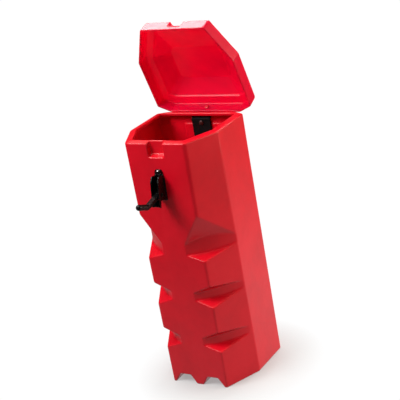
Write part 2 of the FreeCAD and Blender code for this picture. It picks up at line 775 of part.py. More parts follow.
def make_latch_strap():
    """Rubber strap: eye round the pin, tapering arm, round grip."""
    length, half = dim.arm_length, 0.5 * dim.arm_thick
    profile = [(3.0, -half - 1.4), (16.0, -half), (length, 0.6 - half),
               (length, half - 0.6), (16.0, half), (3.0, half + 1.4)]
    arm = prism("strap_arm", "XZ_Plane", [profile], 2 * dim.arm_half)
    eye = rod("strap_eye", dim.pin_radius + 4.3, 2 * dim.arm_half,
              0, dim.arm_half, 0, FORWARD)
    raw = fuse_all("strap_raw", [arm, eye, strap_grip()])
    hole = rod("strap_eye_hole", dim.pin_hole, 40.0, 0, 20, 0, FORWARD)
    strap = cut("latch_strap", raw, [hole])
    # local +X of the strap points away from the front wall and slightly down
    droop = Rotation(Vector(1, 0, 0), float(dim.arm_droop))
    return place(strap, 0, dim.pin_y, dim.pin_z, droop.multiply(Rotation(UP, -90)))


def make_latch_screws():
    shank, head, length = dim.screw_radius, dim.screw_head, 17.0
    profile = [(0.0, -4.6), (0.4 * head, -4.2), (0.75 * head, -3.0), (0.95 * head, -1.4),
               (head, -0.5), (head, 0.0), (shank, 0.0), (shank, length - 0.4),
               (2.1, length), (0.0, length)]
    return compound("latch_screws", [
        lathe(name, profile, 0, FRONT_FACE - dim.plate_thick - 0.1, z)
        for name, z in zip(("screw_a", "screw_b"), SCREW_HEIGHTS)])


def make_latch_backing_plate():
    """Plate inside the front wall, behind the bracket."""
    height = dim.screw_high - dim.screw_low + 2 * BACKING_MARGIN
    blank = box("backing_blank", (2 * BACKING_HALF, BACKING_THICK, height),
                -BACKING_HALF, INNER_FRONT + 0.05, dim.screw_low - BACKING_MARGIN)
    return cut("latch_backing_plate", blank,
               rod_pair("backing_hole", dim.screw_hole, 20.0, INNER_FRONT - 5, SCREW_HEIGHTS))


def make_latch_washers():
    y = INNER_FRONT + BACKING_THICK + STACK_GAP
    return compound("latch_washers", [
        ring(name, 2.65, 5.0, LATCH_WASHER_THICK, 0, y, z)
        for name, z in zip(("latch_washer_a", "latch_washer_b"), SCREW_HEIGHTS)])


def nut(name, z):
    """Hexagon nut behind a washer."""
    corner_radius, bore, thickness = 4.62, 2.62, 4.0
    body = new_body(name)
    sketch = sketch_on(body, name + "_profile", "XY_Plane")
    angles = [math.radians(60 * i + 30) for i in range(6)]
    draw(sketch, [(corner_radius * math.cos(a), corner_radius * math.sin(a))
                  for a in angles])
    circle = sketch.addGeometry(Part.Circle(Vector(0, 0, 0), UP, bore), False)
    sketch.addConstraint(Sketcher.Constraint("Radius", circle, bore))
    fix_point(sketch, circle, 3, 0.0, 0.0)
    pad(body, sketch, thickness, middle=False)
    y = INNER_FRONT + BACKING_THICK + LATCH_WASHER_THICK + 2 * STACK_GAP
    return place(body, 0, y, z, Rotation(UP, BACKWARD))


def make_latch_nuts():
    return compound("latch_nuts", [
        nut(name, z) for name, z in zip(("nut_a", "nut_b"), SCREW_HEIGHTS)])


# --------------------------------------------------------------------- assembly
pieces = {
    "body_shell": make_body_shell(),
    "lid_shell": make_lid_shell(),
    "hinge_strap_lower": make_hinge_strap_lower(),
    "hinge_strap_upper": make_hinge_strap_upper(),
    "hinge_rivets_body": make_hinge_rivets_body(),
    "hinge_washers_body": make_hinge_washers_body(),
    "hinge_rivet_lid": make_hinge_rivet_lid(),
    "hinge_washer_lid": make_hinge_washer_lid(),
    "latch_bracket": make_latch_bracket(),
    "latch_pin": make_latch_pin(),
    "latch_pin_clips": make_latch_pin_clips(),
    "latch_strap": make_latch_strap(),
    "latch_screws": make_latch_screws(),
    "latch_backing_plate": make_latch_backing_plate(),
    "latch_washers": make_latch_washers(),
    "latch_nuts": make_latch_nuts(),
}

# the lid and all it carries swing open about the fold axis
pivot = point(0, BACK_FACE + dim.pivot_back, dim.height - dim.pivot_drop)
swing = Placement(Vector(0, 0, 0), Rotation(Vector(1, 0, 0), -float(dim.open_angle)), pivot)
for label in ("lid_shell", "hinge_strap_upper", "hinge_rivet_lid", "hinge_washer_lid"):
    pieces[label].Placement = swing.multiply(pieces[label].Placement)

doc.recompute()
failed = [(obj.Name, list(obj.State)) for obj in doc.Objects
          if "Invalid" in obj.State or "Error" in obj.State]
if failed:
    raise RuntimeError("failed objects: %r" % failed)
for label, piece in pieces.items():
    piece.Label = label
    shape = piece.Shape
    if shape.isNull() or not shape.isValid() or shape.Volume <= 0:
        raise RuntimeError("bad shape: " + label)
for label, piece in pieces.items():
    piece.Shape.exportStep("parts/%s.step" % label)
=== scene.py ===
# A red moulded container with a hinged lid, shown with the lid 70 degrees open.
# X runs across it, -Y is the front with the latch, +Y the back with the hinge
# strap, +Z is up.  Lengths are metres unless a name or comment says mm.
import bpy
import bmesh
import json
import math
import numpy as np
from mathutils import Vector, Matrix


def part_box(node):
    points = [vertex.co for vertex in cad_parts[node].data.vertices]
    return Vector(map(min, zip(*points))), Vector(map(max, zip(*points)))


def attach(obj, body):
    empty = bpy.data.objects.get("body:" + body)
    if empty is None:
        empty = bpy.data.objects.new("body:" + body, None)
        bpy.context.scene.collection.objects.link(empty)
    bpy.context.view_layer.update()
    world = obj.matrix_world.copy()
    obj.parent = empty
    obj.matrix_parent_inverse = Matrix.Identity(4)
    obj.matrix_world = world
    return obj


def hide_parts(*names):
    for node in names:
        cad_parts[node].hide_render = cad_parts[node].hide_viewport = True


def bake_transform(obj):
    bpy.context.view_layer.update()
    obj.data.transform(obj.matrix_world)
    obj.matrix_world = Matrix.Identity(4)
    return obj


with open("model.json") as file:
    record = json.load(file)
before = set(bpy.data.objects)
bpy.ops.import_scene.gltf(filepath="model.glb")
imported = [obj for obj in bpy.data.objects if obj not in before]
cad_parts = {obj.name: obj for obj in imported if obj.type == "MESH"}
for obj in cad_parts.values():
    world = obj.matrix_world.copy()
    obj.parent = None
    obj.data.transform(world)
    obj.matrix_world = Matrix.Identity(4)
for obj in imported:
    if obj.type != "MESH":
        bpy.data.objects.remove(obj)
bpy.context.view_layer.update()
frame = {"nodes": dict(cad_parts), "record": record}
NODES = frame["nodes"]
JOINTS = {joint["name"]: joint for joint in frame["record"]["behaviour"]["joints"]}
LID_PIVOT = JOINTS["lid_fold"]["pos_m"]
LATCH_PIN = JOINTS["latch_swing"]["pos_m"]
LID_OPEN = math.radians(70.0)
scene = bpy.context.scene


# ------------------------------------------------------------- shader helpers
class Nodes:
    """Builds shader nodes in one tree.  A value is a number, a tuple or a socket."""

    def __init__(self, tree):
        self.tree = tree

    def feed(self, socket, value):
        if isinstance(value, (int, float)):
            socket.default_value = value
        elif isinstance(value, tuple):
            # colours gain an alpha, vectors stay at three numbers
            socket.default_value = (*value, 1)[:len(socket.default_value)]
        else:
            self.tree.links.new(value, socket)

    def node(self, kind, inputs=None, **settings):
        made = self.tree.nodes.new("ShaderNode" + kind)
        for key, value in settings.items():
            setattr(made, key, value)
        for key, value in (inputs or {}).items():
            self.feed(made.inputs[key], value)
        return made

    def remap(self, value, out=(0.0, 1.0), src=(0.0, 1.0)):
        """Carries the range src to the range out, clamped."""
        return self.node("MapRange", {
            "From Min": src[0], "From Max": src[1],
            "To Min": out[0], "To Max": out[1], "Value": value}).outputs["Result"]

    def mix_shader(self, factor, first, second):
        return self.node("MixShader", {0: factor, 1: first, 2: second}).outputs[0]


class Material(Nodes):
    """A new material with object-space textures on its Principled shader."""

    def __init__(self, name):
        self.material = bpy.data.materials.new(name)
        self.material.use_nodes = True
        super().__init__(self.material.node_tree)
        self.shader = self.tree.nodes["Principled BSDF"]
        self.coords = self.node("TexCoord").outputs["Object"]

    def noise(self, scale, detail=4.0, rough=0.55, distort=0.0, stretch=None):
        place = self.coords
        if stretch:
            place = self.node("Mapping", {"Scale": stretch, "Vector": place}).outputs["Vector"]
        return self.node("TexNoise", {
            "Scale": scale, "Detail": detail, "Roughness": rough,
            "Distortion": distort, "Vector": place}).outputs["Fac"]

    def ramp(self, factor, stops):
        made = self.node("ValToRGB", {"Fac": factor})
        elements = made.color_ramp.elements
        while len(elements) < len(stops):
            elements.new(0.5)
        for i, (position, color) in enumerate(stops):
            elements[i].position = position
            elements[i].color = (*color, 1)
        return made.outputs["Color"]

    def calc(self, operation, a, b):
        return self.node("Math", {0: a, 1: b}, operation=operation).outputs[0]

    def plus(self, a, b):
        return self.calc("ADD", a, b)

    def times(self, a, b):
        return self.calc("MULTIPLY", a, b)

    def mix(self, factor, a, b, mode="MIX"):
        return self.node("Mix", {0: factor, 6: a, 7: b},
                         data_type="RGBA", blend_type=mode).outputs[2]

    def tint(self, color, mask, amount, paint):
        """Lays paint over color where mask is high."""
        return self.mix(self.times(mask, amount), color, paint)

    def bump(self, height, distance, strength, below=None):
        inputs = {"Strength": strength, "Distance": distance, "Height": height}
        if below is not None:
            inputs["Normal"] = below
        return self.node("Bump", inputs).outputs["Normal"]

    def edge(self, low, high):
        """1 on raised edges, from the curvature of a dense mesh."""
        return self.remap(self.node("NewGeometry").outputs["Pointiness"], src=(low, high))

    def rim(self, radius):
        """1 near sharp edges, on a mesh of any density."""
        rounded = self.node("Bevel", {"Radius": radius}, samples=6)
        true = self.node("NewGeometry")
        dot = self.node("VectorMath", {0: rounded.outputs["Normal"], 1: true.outputs["Normal"]},
                        operation="DOT_PRODUCT")
        return self.remap(dot.outputs["Value"], out=(1.0, 0.0), src=(0.86, 0.995))

    def surface(self, **inputs):
        """Sets Principled inputs; an underscore stands for a space."""
        for key, value in inputs.items():
            self.feed(self.shader.inputs[key.replace("_", " ")], value)

    def finish(self, shader):
        self.feed(self.tree.nodes["Material Output"].inputs["Surface"], shader)


# ------------------------------------------------------------------ materials
MID_TONES = (0.3, 0.7)  # the part of a noise that drives roughness


def moulded_red(name, base, glow, rough_low):
    """Satin moulded polyethylene: cloudy colour, orange peel, fine grain, a few
    scuffs, paler edges (part wear, part painted highlight).  glow lets light through the wall."""
    m = Material(name)
    red, green, blue = base
    dark = tuple(c * 0.86 for c in base)
    pale = (red * 1.07, green + 0.0015, blue + 0.004)
    cloud = m.noise(scale=9.0, detail=5.0, rough=0.6, distort=0.3)
    mottle = m.noise(scale=85.0, rough=0.6)
    speck = m.noise(scale=900.0, detail=2.0, rough=0.5)
    color = m.ramp(cloud, [(0.30, dark), (0.52, base), (0.72, pale)])
    color = m.mix(m.remap(mottle, out=(0.0, 0.16), src=(0.42, 0.75)), color, dark)
    color = m.mix(m.remap(speck, out=(0.0, 0.05), src=(0.58, 0.75)), color,
                  (red, green + 0.010, blue + 0.014))
    edge = m.edge(low=0.515, high=0.60)
    patches = m.noise(scale=40.0, detail=6.0, rough=0.7)
    # paler edges: partly wear, partly a painted highlight on the rounded edges
    edge_wear_and_highlight = m.times(edge, m.remap(patches, out=(0.35, 1.0), src=(0.35, 0.62)))
    color = m.tint(color, edge_wear_and_highlight, 0.38, (min(1.0, red * 1.18), 0.075, 0.085))
    # faint rubbed streaks, mostly upright
    streak = m.noise(scale=38.0, rough=0.6, distort=0.2, stretch=(2.6, 2.6, 0.22))
    scuff = m.remap(streak, src=(0.60, 0.78))
    color = m.tint(color, scuff, 0.12, (0.86, 0.045, 0.06))
    rough = m.remap(mottle, out=(rough_low, rough_low + 0.035), src=(0.25, 0.75))
    rough = m.plus(rough, m.times(scuff, 0.025))
    rough = m.plus(rough, m.times(edge, -0.05))
    peel = m.noise(scale=260.0, detail=3.0, rough=0.5)
    grain = m.noise(scale=1900.0, detail=2.0, rough=0.6)
    wave = m.noise(scale=26.0, detail=2.0, rough=0.5)
    normal = m.bump(wave, distance=0.0016, strength=0.30)
    normal = m.bump(peel, distance=0.00018, strength=0.20, below=normal)
    normal = m.bump(grain, distance=0.00003, strength=0.15, below=normal)
    m.surface(Base_Color=color, Roughness=rough, Normal=normal, IOR=1.51,
              Specular_IOR_Level=0.43)
    if glow > 0:
        through = m.mix(1.0, color, (1.0, 0.7, 2.1), "MULTIPLY")
        wall = m.node("BsdfTranslucent", {"Color": through, "Normal": normal})
        m.finish(m.mix_shader(glow, m.shader.outputs[0], wall.outputs[0]))
    return m.material


def nylon_black():
    m = Material("nylon_black")
    cloud = m.noise(scale=60.0, rough=0.6)
    grain = m.noise(scale=1500.0, detail=3.0, rough=0.6)
    color = m.ramp(cloud, [(0.3, (0.0012, 0.0012, 0.0014)), (0.7, (0.0032, 0.0032, 0.0036))])
    color = m.tint(color, m.edge(low=0.53, high=0.62), 0.4, (0.018, 0.018, 0.019))
    normal = m.bump(grain, distance=0.00006, strength=0.6)
    m.surface(Base_Color=color, Roughness=m.remap(cloud, out=(0.22, 0.32), src=MID_TONES),
              Normal=normal, Specular_IOR_Level=0.35)
    return m.material


def rubber_black():
    """Dull rubber with a little dust and paler edges."""
    m = Material("rubber_black")
    cloud = m.noise(scale=45.0, detail=5.0, rough=0.65)
    grain = m.noise(scale=1100.0, detail=3.0, rough=0.6)
    color = m.ramp(cloud, [(0.3, (0.0022, 0.0022, 0.0025)), (0.72, (0.0060, 0.0060, 0.0064))])
    specks = m.noise(scale=170.0, detail=6.0, rough=0.75)
    dust = m.remap(specks, out=(0.0, 0.35), src=(0.55, 0.85))
    color = m.mix(dust, color, (0.020, 0.018, 0.018))
    color = m.tint(color, m.edge(low=0.53, high=0.64), 0.4, (0.026, 0.026, 0.027))
    lumps = m.bump(m.noise(scale=120.0), distance=0.0003, strength=0.4)
    normal = m.bump(grain, distance=0.00010, strength=0.6, below=lumps)
    m.surface(Base_Color=color, Roughness=m.remap(cloud, out=(0.24, 0.34), src=MID_TONES),
              Normal=normal, Specular_IOR_Level=0.16)
    return m.material


def sheet_rubber():
    """Cloth-reinforced rubber sheet: a fine square weave pressed into the face."""
    m = Material("sheet_rubber")
    threads = {"Scale": 330.0, "Distortion": 0.6, "Detail": 1.0, "Vector": m.coords}
    across, upright, deep = [
        m.node("TexWave", threads, wave_type="BANDS", bands_direction=axis).outputs["Fac"]
        for axis in "XZY"]
    weave = m.plus(across, m.times(m.plus(upright, deep), 0.5))
    cloud = m.noise(scale=50.0, detail=5.0, rough=0.6)
    color = m.ramp(cloud, [(0.3, (0.0015, 0.0015, 0.0017)), (0.75, (0.0040, 0.0038, 0.0040))])
    specks = m.remap(m.noise(scale=300.0, rough=0.7), out=(0.0, 0.4), src=(0.55, 0.8))
    color = m.mix(specks, color, (0.010, 0.006, 0.006))
    patches = m.noise(scale=220.0, detail=5.0, rough=0.7)
    rub = m.times(m.rim(radius=0.0008), m.remap(patches, out=(0.2, 1.0), src=(0.4, 0.65)))
    color = m.tint(color, rub, 0.6, (0.028, 0.027, 0.027))
    normal = m.bump(weave, distance=0.00012, strength=0.6)
    m.surface(Base_Color=color, Roughness=m.remap(cloud, out=(0.5, 0.65), src=MID_TONES),
              Normal=normal, Specular_IOR_Level=0.2)
    return m.material


def metal(name, color, rough, scale=420.0, stain=(0.32, 0.30, 0.28)):
    """Brushed metal with stained patches and bright worn edges."""
    m = Material(name)
    blotch = m.noise(scale=scale, detail=5.0, rough=0.7)
    brush = m.noise(scale=2600.0, detail=2.0, rough=0.5, stretch=(1.0, 1.0, 0.12))
    bright = tuple(min(0.85, c * 1.3 + 0.10) for c in color)
    color = m.mix(m.remap(blotch, out=(0.0, 0.35), src=(0.45, 0.7)), color, stain)
    patches = m.noise(scale=scale * 1.7, rough=0.7)
    worn = m.times(m.rim(radius=0.0004), m.remap(patches, out=(0.15, 1.0), src=(0.42, 0.62)))
    color = m.tint(color, worn, 0.7, bright)
    roughness = m.plus(m.remap(blotch, out=(rough, rough + 0.14), src=MID_TONES),
                       m.remap(brush, out=(-0.03, 0.03)))
    m.surface(Base_Color=color, Metallic=1.0, Roughness=roughness,
              Normal=m.bump(brush, distance=0.00003, strength=0.5))
    return m.material


def black_dome():
    """Black dome heads under a clear film."""
    m = Material("black_dome")
    cloud = m.noise(scale=500.0, rough=0.6)
    patches = m.noise(scale=1300.0, rough=0.7)
    worn = m.times(m.rim(radius=0.0006), m.remap(patches, src=(0.45, 0.62)))
    color = m.ramp(cloud, [(0.3, (0.004, 0.004, 0.004)), (0.7, (0.010, 0.010, 0.011))])
    color = m.tint(color, worn, 0.6, (0.10, 0.10, 0.10))
    m.surface(Base_Color=color, Roughness=m.remap(cloud, out=(0.10, 0.18), src=MID_TONES),
              IOR=1.9, Coat_Weight=1.0, Coat_Roughness=0.04, Coat_IOR=1.9,
              Normal=m.bump(m.noise(scale=900.0, detail=2.0), distance=0.00002, strength=0.5))
    return m.material


def painted(name, color):
    """Paint with grey chips along its edges."""
    m = Material(name)
    blotch = m.noise(scale=300.0, detail=5.0, rough=0.7)
    flakes = m.times(m.rim(radius=0.0005), m.noise(scale=700.0, rough=0.7))
    chips = m.remap(flakes, src=(0.42, 0.5))
    shade = tuple(c * 0.7 for c in color)
    color = m.mix(m.remap(blotch, out=(0.0, 0.4), src=(0.4, 0.7)), color, shade)
    color = m.tint(color, chips, 0.7, (0.45, 0.43, 0.42))
    m.surface(Base_Color=color, Roughness=m.remap(blotch, out=(0.3, 0.42), src=MID_TONES),
              Normal=m.bump(blotch, distance=0.00005, strength=0.5))
    return m.material


RED = moulded_red("moulded_red", base=(0.76, 0.0018, 0.015), glow=0.0, rough_low=0.31)
# painted light: the lid is the body's red plastic, given a paler, bluer base that stands in for
# light glowing through the thin lid
LID_RED_PAINTED_GLOW = moulded_red("moulded_red_lid_painted_glow", base=(0.86, 0.0020, 0.058), glow=0.50, rough_low=0.285)
NYLON = nylon_black()
RUBBER = rubber_black()
SHEET = sheet_rubber()
DOME = black_dome()
ALLOY = metal("rivet_alloy", color=(0.62, 0.62, 0.63), rough=0.30)
ZINC = metal("zinc_steel", color=(0.58, 0.57, 0.54), rough=0.28, scale=260.0,
             stain=(0.45, 0.42, 0.33))
PLATED = metal("black_plated", color=(0.030, 0.030, 0.032), rough=0.30,
               stain=(0.055, 0.052, 0.05))
RIVET_RED = painted("rivet_red", color=(0.62, 0.02, 0.03))
RIVET_DARK = painted("rivet_dark", color=(0.05, 0.012, 0.010))


# --------------------------------------------------------------- mesh helpers
def make(name, verts, faces, material):
    mesh = bpy.data.meshes.new(name)
    mesh.from_pydata([tuple(v) for v in verts], [], faces)
    mesh.update()
    obj = bpy.data.objects.new(name, mesh)
    scene.collection.objects.link(obj)
    if material is not None:
        mesh.materials.append(material)
    for face in mesh.polygons:
        face.use_smooth = True
    return obj


def register(obj, node, body=None):
    if body:
        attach(obj, body)
    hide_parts(node)


def node_points(node):
    """Vertices and faces of a CAD node, with split corners welded."""
    bm = bmesh.new()
    bm.from_mesh(NODES[node].data)
    bmesh.ops.remove_doubles(bm, verts=bm.verts, dist=2e-6)
    bm.verts.index_update()
    verts = [vert.co.copy() for vert in bm.verts]
    faces = [tuple(vert.index for vert in face.verts) for face in bm.faces]
    bm.free()
    return verts, faces


def turn_x(points, centre, angle):
    """Points turned about the X axis through centre."""
    c, s = math.cos(angle), math.sin(angle)
    turned = []
    for point in points:
        y, z = point[1] - centre[1], point[2] - centre[2]
        turned.append(Vector((point[0], centre[1] + c * y - s * z, centre[2] + s * y + c * z)))
    return turned


def bake(obj):
    """Applies the modifiers of obj into its mesh."""
    bpy.context.view_layer.update()
    graph = bpy.context.evaluated_depsgraph_get()
    mesh = bpy.data.meshes.new_from_object(
        obj.evaluated_get(graph), preserve_all_data_layers=False, depsgraph=graph)
    old = obj.data
    obj.modifiers.clear()
    obj.data = mesh
    bpy.data.meshes.remove(old)
    for face in mesh.polygons:
        face.use_smooth = True


def soften(name, verts, faces, voxel, steps, material):
    """Rebuilds a closed form as an even skin and relaxes its sharp edges."""
    obj = make(name, verts, faces, None)
    skin = obj.modifiers.new("skin", "REMESH")
    skin.mode = "VOXEL"
    skin.voxel_size = voxel
    skin.use_smooth_shade = True
    relax = obj.modifiers.new("relax", "SMOOTH")
    relax.factor = 0.5
    relax.iterations = steps
    bake(obj)
    obj.data.materials.append(material)
    return obj


def lathe(profile, centre, axis, segments):
    """Turned form: profile is (radius, station along axis)."""
    spin = Vector((0, 0, 1)).rotation_difference(Vector(axis))
    verts, faces, rows = [], [], []
    for radius, station in profile:
        count = 1 if radius < 1e-7 else segments
        rows.append(range(len(verts), len(verts) + count))
        for i in range(count):
            a = 2 * math.pi * i / segments
            offset = Vector((radius * math.cos(a), radius * math.sin(a), station))
            verts.append(Vector(centre) + spin @ offset)
    for a, b in zip(rows, rows[1:]):
        for i in range(segments):
            j = (i + 1) % segments
            if len(a) == 1:
                faces.append((a[0], b[j], b[i]))
            elif len(b) == 1:
                faces.append((a[i], a[j], b[0]))
            else:
                faces.append((a[i], a[j], b[j], b[i]))
    return verts, faces


def join(parts):
    verts, faces = [], []
    for part_verts, part_faces in parts:
        start = len(verts)
        verts += list(part_verts)
        faces += [tuple(i + start for i in face) for face in part_faces]
    return verts, faces


def outward(obj):
    """Turns all face normals outward."""
    bm = bmesh.new()
    bm.from_mesh(obj.data)
    bmesh.ops.recalc_face_normals(bm, faces=bm.faces)
    bm.to_mesh(obj.data)
    bm.free()
    return obj


def arc(centre, radius, start, end, steps):
    """Points on an arc between two angles in degrees."""
    angles = [math.radians(start + (end - start) * i / steps) for i in range(steps + 1)]
    return [(centre[0] + radius * math.cos(a), centre[1] + radius * math.sin(a))
            for a in angles]


def between(t, t_a, t_b, a, b):
    """The line that is a at t_a and b at t_b, read at t."""
    return (t_b - t) / (t_b - t_a) * a + (t - t_a) / (t_b - t_a) * b


def spline(points, step):
    """Even points on a centripetal curve through points, and their distances."""
    samples = 24  # per span, before evening out
    P = [np.array(point, float) for point in points]
    P = [2 * P[0] - P[1]] + P + [2 * P[-1] - P[-2]]
    fine = []
    for p0, p1, p2, p3 in zip(P, P[1:], P[2:], P[3:]):
        t0 = 0.0
        t1 = t0 + np.linalg.norm(p1 - p0) ** 0.5
        t2 = t1 + np.linalg.norm(p2 - p1) ** 0.5
        t3 = t2 + np.linalg.norm(p3 - p2) ** 0.5
        for k in range(samples):
            t = t1 + (t2 - t1) * k / samples
            a1 = between(t, t0, t1, p0, p1)
            a2 = between(t, t1, t2, p1, p2)
            a3 = between(t, t2, t3, p2, p3)
            b1 = between(t, t0, t2, a1, a2)
            b2 = between(t, t1, t3, a2, a3)
            fine.append(between(t, t1, t2, b1, b2))
    fine.append(P[-2])
    fine = np.array(fine)
    run = np.r_[0, np.cumsum(np.linalg.norm(np.diff(fine, axis=0), axis=1))]
    count = max(4, int(round(run[-1] / step)))
    even = np.linspace(0, run[-1], count + 1)
    return np.c_[np.interp(even, run, fine[:, 0]), np.interp(even, run, fine[:, 1])], even


def strip(name, path, half, thick, round_start, round_end, material, step):
    """Flat strap swept along (y, z) points; its corners can be rounded in plan."""
    edge_radius, edge_steps, cells = 0.0009, 3, 16
    points, run = spline(path, step)
    tangents = np.gradient(points, axis=0)
    tangents /= np.linalg.norm(tangents, axis=1)[:, None]
    normals = np.c_[-tangents[:, 1], tangents[:, 0]]
    rise = thick / 2 - edge_radius

    def corner(x, y, start, end):
        return arc((x, y), edge_radius, start, end, edge_steps)

    verts, faces = [], []
    for i in range(len(points)):
        width = half
        for radius, distance in ((round_start, run[i]), (round_end, run[-1] - run[i])):
            if distance < radius:
                inset = math.sqrt(max(radius * radius - (radius - distance) ** 2, 0.0))
                width = min(width, half - radius + inset)
        flat = width - edge_radius
        row = [-flat + 2 * flat * k / cells for k in range(cells + 1)]
        ring = [(x, thick / 2) for x in row]
        ring += corner(flat, rise, 70, 0) + corner(flat, -rise, 0, -70)
        ring += [(-x, -thick / 2) for x in row]
        ring += corner(-flat, -rise, 250, 180) + corner(-flat, rise, 180, 110)
        for x, height in ring:
            y, z = points[i] + normals[i] * height
            verts.append((x, y, z))
    size = len(ring)
    last = len(points) - 1
    for i in range(last):
        for k in range(size):
            j = (k + 1) % size
            faces.append((i * size + k, i * size + j, (i + 1) * size + j, (i + 1) * size + k))
    # flat ends, as strips between the two faces
    side = 2 * (edge_steps + 1)
    half_ring = cells + 1 + side
    for base in (0, last * size):
        top = list(range(base, base + cells + 1))
        right = list(range(base + cells + 1, base + half_ring))
        bottom = [base + half_ring + k for k in range(cells + 1)]
        left = list(range(base + half_ring + cells + 1, base + size))
        for k in range(cells):
            faces.append((top[k], top[k + 1], bottom[cells - k - 1], bottom[cells - k]))
        faces.append(tuple([top[-1]] + right + [bottom[0]]))
        faces.append(tuple([bottom[-1]] + left + [top[0]]))
    return outward(make(name, verts, faces, material))


def mm(*values):
    return tuple(value / 1000.0 for value in values)


# ------------------------------------------------------ mouldings and bracket
def container():
    obj = soften("container_moulding", *node_points("body_shell"),
                 voxel=0.0017, steps=7, material=RED)
    register(obj, "body_shell", "container")


def lid_moulding():
    """The lid is skinned shut, square to the voxel grid, then turned open again."""
    verts, faces = node_points("lid_shell")
    obj = soften("lid_moulding", turn_x(verts, LID_PIVOT, LID_OPEN), faces,
                 voxel=0.0015, steps=6, material=LID_RED_PAINTED_GLOW)
    opened = turn_x([vert.co for vert in obj.data.vertices], LID_PIVOT, -LID_OPEN)
    for vert, place in zip(obj.data.vertices, opened):
        vert.co = place
    register(obj, "lid_shell", "lid")
    return obj


def latch_bracket():
    obj = soften("latch_bracket_moulding", *node_points("latch_bracket"),
                 voxel=0.00045, steps=5, material=NYLON)
    register(obj, "latch_bracket", "container")


# ---------------------------------------------------------------- latch strap
LATCH_DROOP = math.radians(10.5)  # arm below level, towards the front
LATCH_BEND = math.radians(32.0)   # grip turned up from the arm
LATCH_ARM = 0.0495                # pin to elbow
# beads round the grip: (distance from elbow, ring radius, bead radius)
GRIP_BEADS = [(0.0285, 0.0058, 0.0011)]
GRIP_BEADS += [(0.0085 + 0.0055 * k, 0.0061, 0.0006) for k in range(3)]


def bead(centre, axis, radius, thick):
    """Closed ring of round section about axis."""
    spin = Vector((0, 0, 1)).rotation_difference(axis)
    verts, faces, around, section = [], [], 40, 12
    for i in range(around):
        a = 2 * math.pi * i / around
        for j in range(section):
            b = 2 * math.pi * j / section
            reach = radius + thick * math.cos(b)
            verts.append(centre + spin @ Vector(
                (reach * math.cos(a), reach * math.sin(a), thick * math.sin(b))))
    for i in range(around):
        here, after = i * section, (i + 1) % around * section
        for j in range(section):
            k = (j + 1) % section
            faces.append((here + j, after + j, after + k, here + k))
    return verts, faces


def latch_strap():
    arm = Vector((0, -math.cos(LATCH_DROOP), -math.sin(LATCH_DROOP)))
    rise = LATCH_BEND - LATCH_DROOP
    grip = Vector((0, -math.cos(rise), math.sin(rise)))
    elbow = Vector(LATCH_PIN) + arm * LATCH_ARM
    parts = [node_points("latch_strap")]
    for along, radius, thick in GRIP_BEADS:
        parts.append(bead(elbow + grip * along, grip, radius, thick))
    obj = soften("latch_strap_rubber", *join(parts), voxel=0.00042, steps=5, material=RUBBER)
    register(obj, "latch_strap", "latch")


# --------------------------------------------------------------- hinge straps
STRAP_LOW, STRAP_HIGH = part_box("hinge_strap_lower")
STRAP_THICK = 0.004
STRAP_CORNER = 0.006
# (y, z) in mm: from the slot, round the lid's lower edge, to the leaf on its skirt
OUTSIDE_PATH = [
    (104.7, 572.4), (105.7, 571.8), (106.7, 569.9), (107.1, 568.5),
    (107.9, 567.9), (109.3, 568.4), (111.9, 570.2), (116.5, 572.6),
    (120.9, 574.45), (128.0, 577.03), (136.0, 579.94), (143.45, 582.65)]


def inside_strap():
    """Upright leaf, bent towards the back at its top."""
    y = STRAP_LOW.y + STRAP_THICK / 2
    top = STRAP_HIGH.z
    z_bend = top - STRAP_THICK / 2
    path = [(y, STRAP_LOW.z + 0.0002), (y, STRAP_LOW.z + 0.03), (y, top - 0.012),
            (y, top - 0.0062), (y + 0.0012, top - 0.0033), (y + 0.0042, z_bend),
            (y + 0.0075, z_bend), (STRAP_HIGH.y - 0.0006, z_bend)]
    obj = strip("hinge_strap_inside", path, half=STRAP_HIGH.x, thick=STRAP_THICK,
                round_start=STRAP_CORNER, round_end=0.0, material=SHEET, step=0.0012)
    register(obj, "hinge_strap_lower", "container")


def outside_strap():
    obj = strip("hinge_strap_outside", [mm(*point) for point in OUTSIDE_PATH],
                half=STRAP_HIGH.x, thick=STRAP_THICK,
                round_start=0.0, round_end=STRAP_CORNER, material=SHEET, step=0.0008)
    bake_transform(obj)
    register(obj, "hinge_strap_upper")


# ---------------------------------------------------------- rivets and screws
RIVET_HEAD_RADIUS, RIVET_HEAD, RIVET_TAIL = 0.0055, 0.0026, 0.0018
RIVET_SHANK = 0.0024
SCREW_HEAD = 0.0046
SCREW_SHANK, THREAD_ROOT = 0.0025, 0.0022
THREAD_PITCH, THREAD_TURNS = 0.0008, 18


def dome(radius, height, rim, step):
    """Profile of a domed head with its underside at station 0; step in degrees."""
    angles = [math.radians(a) for a in range(step, 91, step)]
    curve = [(radius * math.sin(a), -rim - (height - rim) * math.cos(a)) for a in angles]
    return [(0.0, -height)] + curve + [(radius, 0.0)]


def rivet(grip):
    """Domed head, shank of length grip, and a spread tail."""
    # (radius, station past the grip)
    tail = [(RIVET_SHANK, 0.0), (0.0043, 0.0), (0.0046, 0.0003), (0.0045, 0.0009),
            (0.0036, 0.0014), (0.0018, 0.0017), (0.0, RIVET_TAIL)]
    return (dome(RIVET_HEAD_RADIUS, RIVET_HEAD, rim=0.0004, step=10) + [(RIVET_SHANK, 0.0)]
            + [(radius, grip + past) for radius, past in tail])


def turned_parts(name, profile, centres, axis, material, segments=48):
    parts = [lathe(profile, centre, axis, segments) for centre in centres]
    return outward(make(name, *join(parts), material))


def body_rivets():
    low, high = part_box("hinge_rivets_body")
    y = low.y + RIVET_HEAD
    centres = [(0, y, high.z - RIVET_HEAD_RADIUS), (0, y, low.z + RIVET_HEAD_RADIUS)]
    obj = turned_parts("hinge_rivets_inside", rivet((high.y - RIVET_TAIL) - y),
                       centres, (0, 1, 0), RIVET_DARK)
    register(obj, "hinge_rivets_body", "container")


